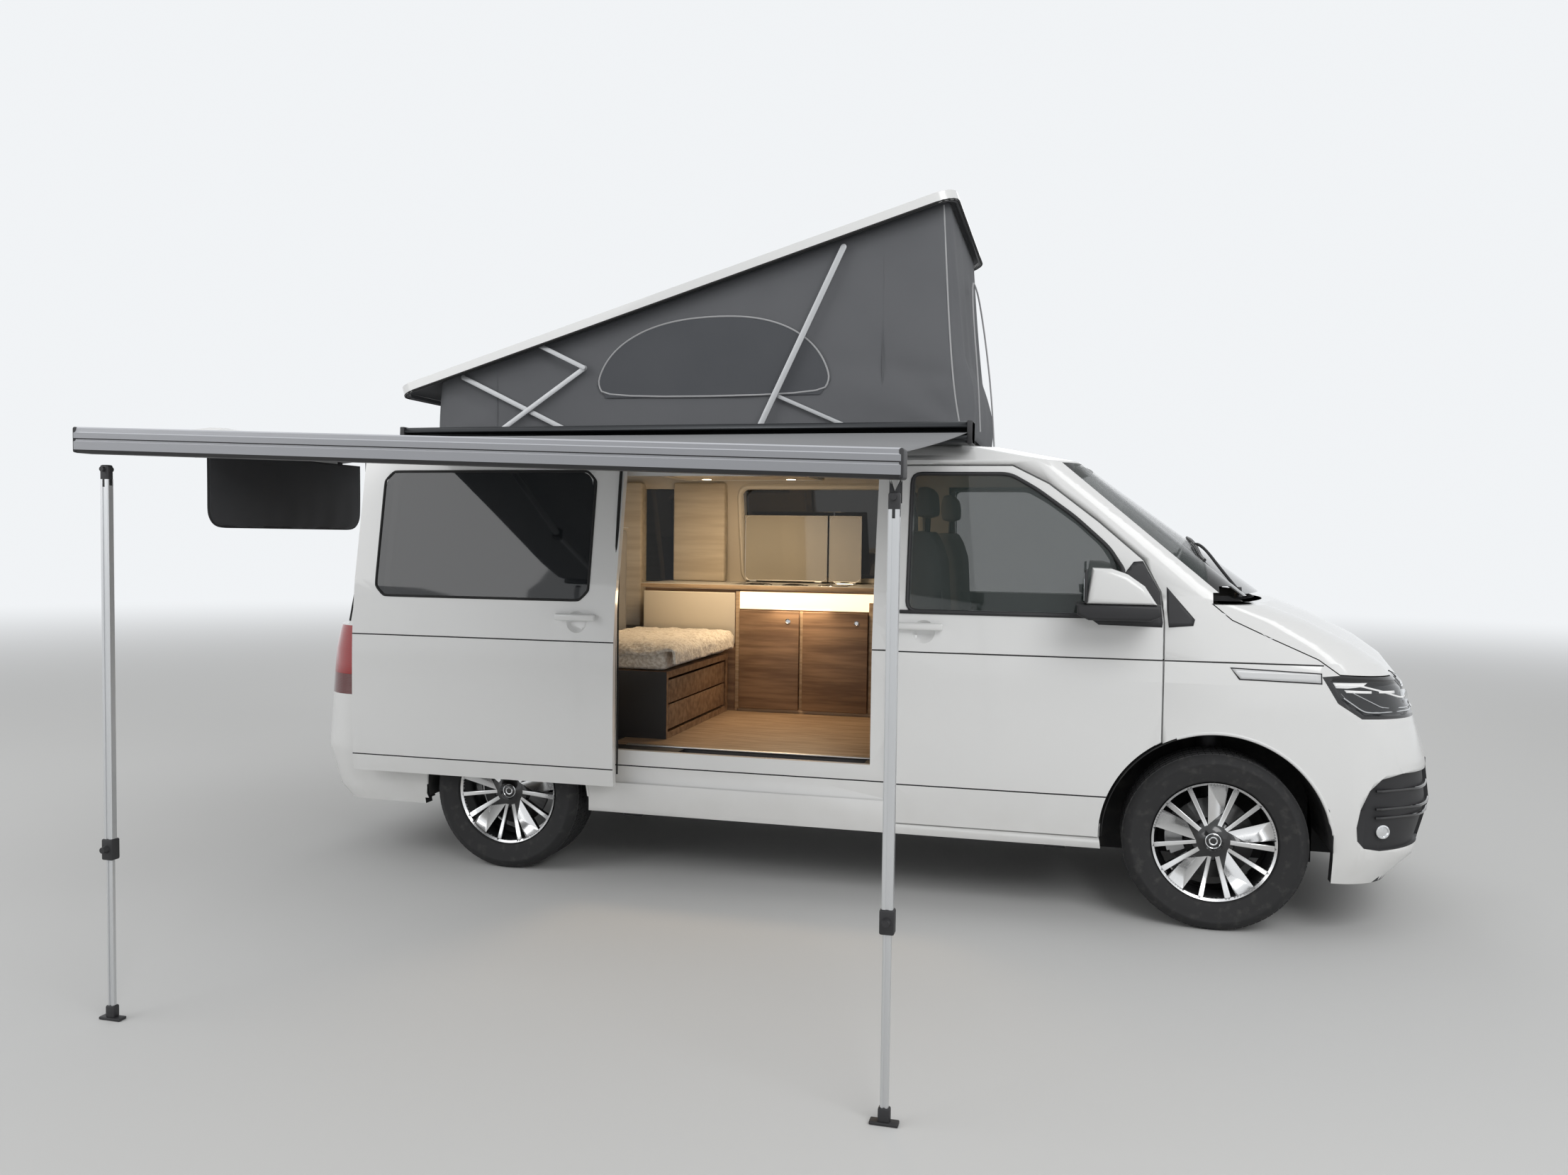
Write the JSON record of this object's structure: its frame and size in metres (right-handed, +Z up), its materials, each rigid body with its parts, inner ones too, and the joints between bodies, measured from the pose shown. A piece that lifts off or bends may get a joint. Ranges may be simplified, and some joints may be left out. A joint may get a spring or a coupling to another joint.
{
  "type": "camper van",
  "caption": "Camper van with raised fabric-sided roof, extended awning, open tailgate and sliding door; wheels, steering, doors, bonnet, roof linkage, legs and kitchen lids move.",
  "frame": {"origin": "middle of the footprint of the whole object, awning out and tailgate open, on the ground", "axes": "+X to the front of the van, +Y to its left side, +Z up"},
  "size_m": [6.0119, 3.943, 2.9881],
  "materials": {
    "white_paint": "glossy white paint",
    "black_trim": "grained black plastic",
    "dark_glass": "dark tinted glass",
    "clear_glass": "clear glass",
    "lamp": "lamp lenses",
    "roof_grey": "dark grey anodised rail",
    "tent_fabric": "dark grey woven tent cloth",
    "awning_fabric": "grey awning cloth",
    "aluminium": "satin aluminium",
    "steel": "plain steel",
    "black_steel": "black painted steel",
    "tyre": "tyre rubber",
    "alloy": "diamond-cut alloy",
    "wood": "brown wood grain",
    "worktop": "light worktop",
    "cushion": "woven seat cloth",
    "ceiling": "light lining",
    "floor": "wood floor"
  },
  "bodies": {
    "body": {"floor_pan": "floor", "front_structure": "black_steel", "roof_panel": "white_paint", "wings": "white_paint", "bumpers": "white_paint", "grille": "black_trim", "lamps": "lamp", "body_glass": "dark_glass", "sliding_door": "white_paint", "roof_rails": "roof_grey", "poptop_bellows": "tent_fabric", "awning_frame": "aluminium", "awning_canopy": "awning_fabric", "kitchen_cabinet": "wood", "kitchen_worktop": "worktop", "bench_base": "wood", "cushions": "cushion", "front_seats": "cushion", "dashboard": "black_trim", "ceiling_boards": "ceiling", "engine_block": "black_steel", "tank_and_exhaust": "black_steel", "axle_front": "black_steel", "axle_rear": "black_steel", "side_panel_right": "white_paint", "side_panel_left": "white_paint"},
    "roof": {"poptop_roof": "white_paint"},
    "rear_arms_long": {"roof_rear_arms_long": "black_steel"},
    "rear_arms_cross": {"roof_rear_arms_cross": "black_steel"},
    "rear_arms_short": {"roof_rear_arms_short": "black_steel"},
    "front_arms": {"roof_front_arms": "black_steel"},
    "front_stays": {"roof_front_stays": "black_steel"},
    "bonnet": {"bonnet": "white_paint"},
    "tailgate": {"tailgate": "white_paint", "tailgate_glass": "dark_glass"},
    "bag": {"bag_flap": "tent_fabric"},
    "strut_tubes": {"tailgate_struts_tube": "black_steel"},
    "strut_rods": {"tailgate_struts_rod": "steel"},
    "door_right": {"front_door_right": "white_paint", "front_door_glass_right": "dark_glass"},
    "door_left": {"front_door_left": "white_paint", "front_door_glass_left": "dark_glass"},
    "steering_wheel": {"steering_wheel": "black_trim"},
    "knuckle_left": {"knuckle_left": "steel"},
    "knuckle_right": {"knuckle_right": "steel"},
    "wheel_front_left": {"tyre_front_left": "tyre", "rim_front_left": "alloy"},
    "wheel_front_right": {"tyre_front_right": "tyre", "rim_front_right": "alloy"},
    "wheel_rear_left": {"tyre_rear_left": "tyre", "rim_rear_left": "alloy"},
    "wheel_rear_right": {"tyre_rear_right": "tyre", "rim_rear_right": "alloy"},
    "awning_leg_rear": {"awning_leg_rear": "aluminium"},
    "awning_leg_front": {"awning_leg_front": "aluminium"},
    "glass_lid_rear": {"glass_lid_rear": "clear_glass"},
    "glass_lid_front": {"glass_lid_front": "clear_glass"},
    "cabinet_door_rear": {"cabinet_door_rear": "wood"},
    "cabinet_door_front": {"cabinet_door_front": "wood"}
  },
  "joints": [
    {"name": "roof_fold", "type": "hinge", "parent": "body", "child": "roof", "pos_m": [-2.26943, 0.823, 1.92403], "axis": [0, 1, 0], "range_deg": [0, 16.71], "deforming": ["poptop_bellows"]},
    {"name": "rear_arms_long_fold", "type": "hinge", "parent": "body", "child": "rear_arms_long", "pos_m": [-0.694, 0.823, 1.958], "axis": [0, -1, 0], "range_deg": [0, 25.5]},
    {"name": "rear_arms_cross_fold", "type": "hinge", "parent": "body", "child": "rear_arms_cross", "pos_m": [-1.136, 0.823, 1.958], "axis": [0, 1, 0], "range_deg": [0, 33.65]},
    {"name": "front_arms_fold", "type": "hinge", "parent": "body", "child": "front_arms", "pos_m": [0.161, 0.823, 1.958], "axis": [0, 1, 0], "range_deg": [0, 64.49]},
    {"name": "front_stays_fold", "type": "hinge", "parent": "body", "child": "front_stays", "pos_m": [0.648, 0.823, 1.958], "axis": [0, -1, 0], "range_deg": [0, 23.48]},
    {"name": "rear_arms_short_fold", "type": "hinge", "parent": "roof", "child": "rear_arms_short", "pos_m": [-0.88139, 0.823, 2.37617], "axis": [0, -1, 0], "range_deg": [0, 42.36]},
    {"name": "bonnet_hinge", "type": "hinge", "parent": "body", "child": "bonnet", "pos_m": [2.076, 0.823, 1.28], "axis": [0, -1, 0], "range_deg": [0, 50]},
    {"name": "tailgate_hinge", "type": "hinge", "parent": "body", "child": "tailgate", "pos_m": [-1.594, 0.823, 1.948], "axis": [0, -1, 0], "range_deg": [0, 79]},
    {"name": "bag_hinge", "type": "hinge", "parent": "tailgate", "child": "bag", "pos_m": [-2.702, 0.823, 1.915], "axis": [0, -1, 0], "range_deg": [0, 90.5]},
    {"name": "strut_swing", "type": "hinge", "parent": "tailgate", "child": "strut_tubes", "pos_m": [-1.73127, 0.823, 1.87853], "axis": [0, 1, 0], "range_deg": [0, 94.83]},
    {"name": "strut_stroke", "type": "slide", "parent": "strut_tubes", "child": "strut_rods", "axis": [0.0059, 0, -1], "range_m": [-0.05555, 0]},
    {"name": "door_right_hinge", "type": "hinge", "parent": "body", "child": "door_right", "pos_m": [1.898, -0.12, 0.8], "axis": [0, 0, 1], "range_deg": [0, 65]},
    {"name": "door_left_hinge", "type": "hinge", "parent": "body", "child": "door_left", "pos_m": [1.898, 1.766, 0.8], "axis": [0, 0, -1], "range_deg": [0, 65]},
    {"name": "steer_left", "type": "hinge", "parent": "body", "child": "knuckle_left", "pos_m": [2.098, 1.513, 0.345], "axis": [0, 0, 1], "range_deg": [-35, 35]},
    {"name": "steer_right", "type": "hinge", "parent": "body", "child": "knuckle_right", "pos_m": [2.098, 0.133, 0.345], "axis": [0, 0, 1], "range_deg": [-35, 35]},
    {"name": "steering_turn", "type": "hinge", "parent": "body", "child": "steering_wheel", "pos_m": [1.608, 1.293, 1.13], "axis": [-0.8829, 0, 0.4695], "range_deg": [-540, 540]},
    {"name": "wheel_front_left_spin", "type": "hinge", "parent": "knuckle_left", "child": "wheel_front_left", "pos_m": [2.098, 1.637, 0.345], "axis": [0, 1, 0], "continuous": true},
    {"name": "wheel_front_right_spin", "type": "hinge", "parent": "knuckle_right", "child": "wheel_front_right", "pos_m": [2.098, 0.009, 0.345], "axis": [0, 1, 0], "continuous": true},
    {"name": "wheel_rear_left_spin", "type": "hinge", "parent": "body", "child": "wheel_rear_left", "pos_m": [-0.902, 1.637, 0.345], "axis": [0, 1, 0], "continuous": true},
    {"name": "wheel_rear_right_spin", "type": "hinge", "parent": "body", "child": "wheel_rear_right", "pos_m": [-0.902, 0.009, 0.345], "axis": [0, 1, 0], "continuous": true},
    {"name": "leg_rear_fold", "type": "hinge", "parent": "body", "child": "awning_leg_rear", "pos_m": [-1.268, -1.952, 1.68023], "axis": [0, -1, 0], "range_deg": [0, 88]},
    {"name": "leg_front_fold", "type": "hinge", "parent": "body", "child": "awning_leg_front", "pos_m": [1.121, -1.917, 1.60581], "axis": [0, 1, 0], "range_deg": [0, 88]},
    {"name": "lid_rear_hinge", "type": "hinge", "parent": "body", "child": "glass_lid_rear", "pos_m": [-0.052, 1.613, 1.256], "axis": [1, 0, 0], "range_deg": [0, 88]},
    {"name": "lid_front_hinge", "type": "hinge", "parent": "body", "child": "glass_lid_front", "pos_m": [0.288, 1.613, 1.256], "axis": [1, 0, 0], "range_deg": [0, 88]},
    {"name": "cabinet_rear_hinge", "type": "hinge", "parent": "body", "child": "cabinet_door_rear", "pos_m": [-0.189, 1.161, 0.85], "axis": [0, 0, -1], "range_deg": [0, 90]},
    {"name": "cabinet_front_hinge", "type": "hinge", "parent": "body", "child": "cabinet_door_front", "pos_m": [0.506, 1.161, 0.85], "axis": [0, 0, 1], "range_deg": [0, 90]}
  ],
  "couplings": [
    {"joint": "rear_arms_long_fold", "follows": "roof_fold", "ratio": 1.5249},
    {"joint": "rear_arms_cross_fold", "follows": "roof_fold", "ratio": 2.0129},
    {"joint": "front_arms_fold", "follows": "roof_fold", "ratio": 3.8584},
    {"joint": "front_stays_fold", "follows": "roof_fold", "ratio": 1.404},
    {"joint": "rear_arms_short_fold", "follows": "roof_fold", "ratio": 2.5323},
    {"joint": "bag_hinge", "follows": "tailgate_hinge", "ratio": 1.1392},
    {"joint": "strut_swing", "follows": "tailgate_hinge", "ratio": 1.1979},
    {"joint": "strut_stroke", "follows": "tailgate_hinge", "m_per_rad": -0.039926},
    {"joint": "steer_right", "follows": "steer_left", "ratio": 1},
    {"joint": "steering_turn", "follows": "steer_left", "ratio": 15}
  ]
}
